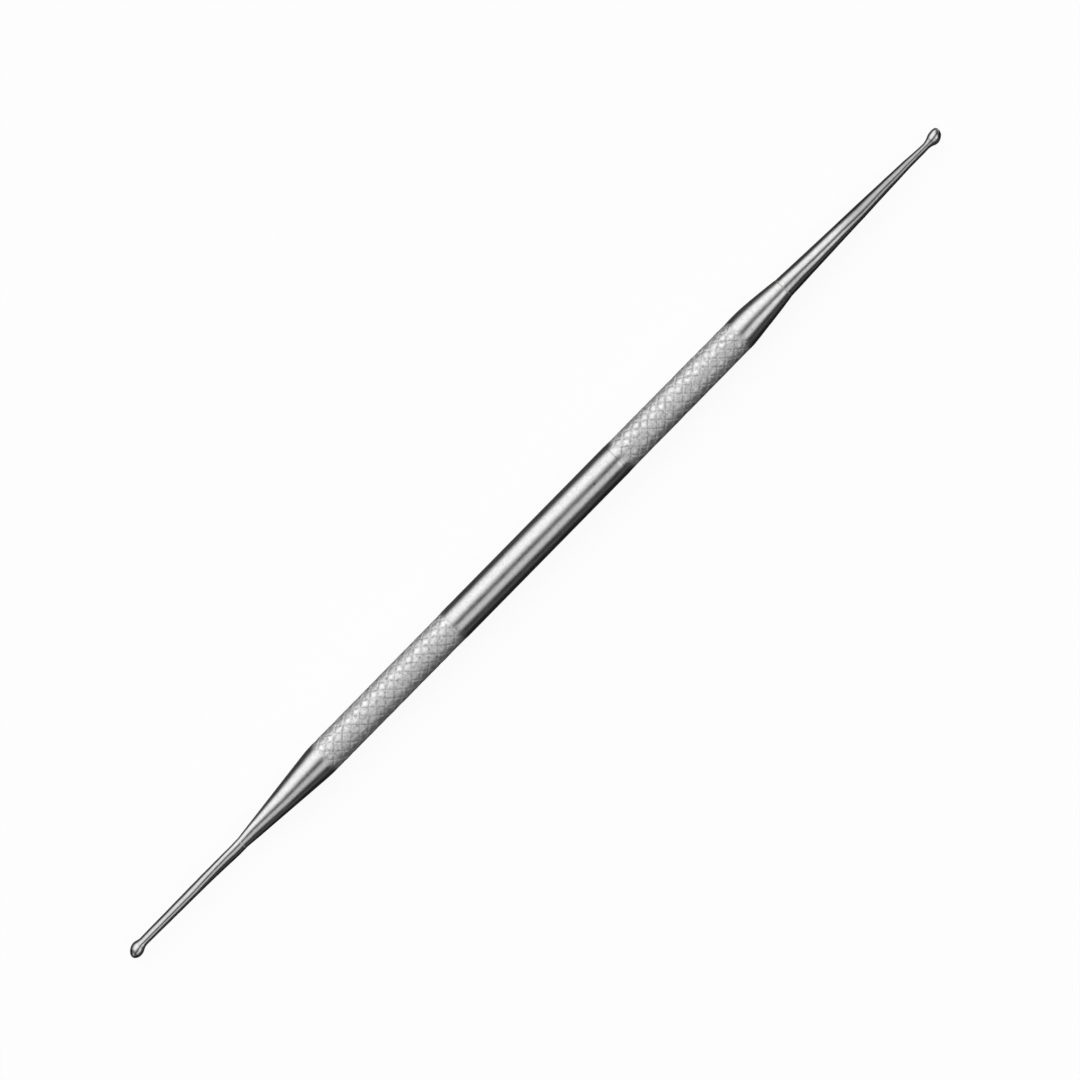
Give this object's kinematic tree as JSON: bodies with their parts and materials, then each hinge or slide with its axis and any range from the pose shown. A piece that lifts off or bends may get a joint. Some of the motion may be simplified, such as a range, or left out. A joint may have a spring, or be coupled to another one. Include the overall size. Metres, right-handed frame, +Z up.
{
  "type": "cuticle pusher",
  "caption": "Double-ended steel cuticle pusher: slim round handle with a smooth grip between knurled bands, and a brazed shank with a tiny solid bulb at each end.",
  "frame": {"origin": "on the handle's axis, at the middle of the smooth grip", "axes": "+X along the tool from the slim end to the tapered end, +Z up from what it lies on, +Y across the tool; it is round, so any roll about X is alike"},
  "size_m": [0.1264, 0.004, 0.004],
  "materials": {
    "handle_steel": "satin",
    "tool_steel": "polished",
    "silver_braze": "satin"
  },
  "bodies": {
    "root": {"knurled_handle": "handle_steel", "slim_working_end": "tool_steel", "tapered_working_end": "tool_steel", "slim_braze_ring": "silver_braze", "tapered_braze_ring": "silver_braze"}
  },
  "joints": []
}
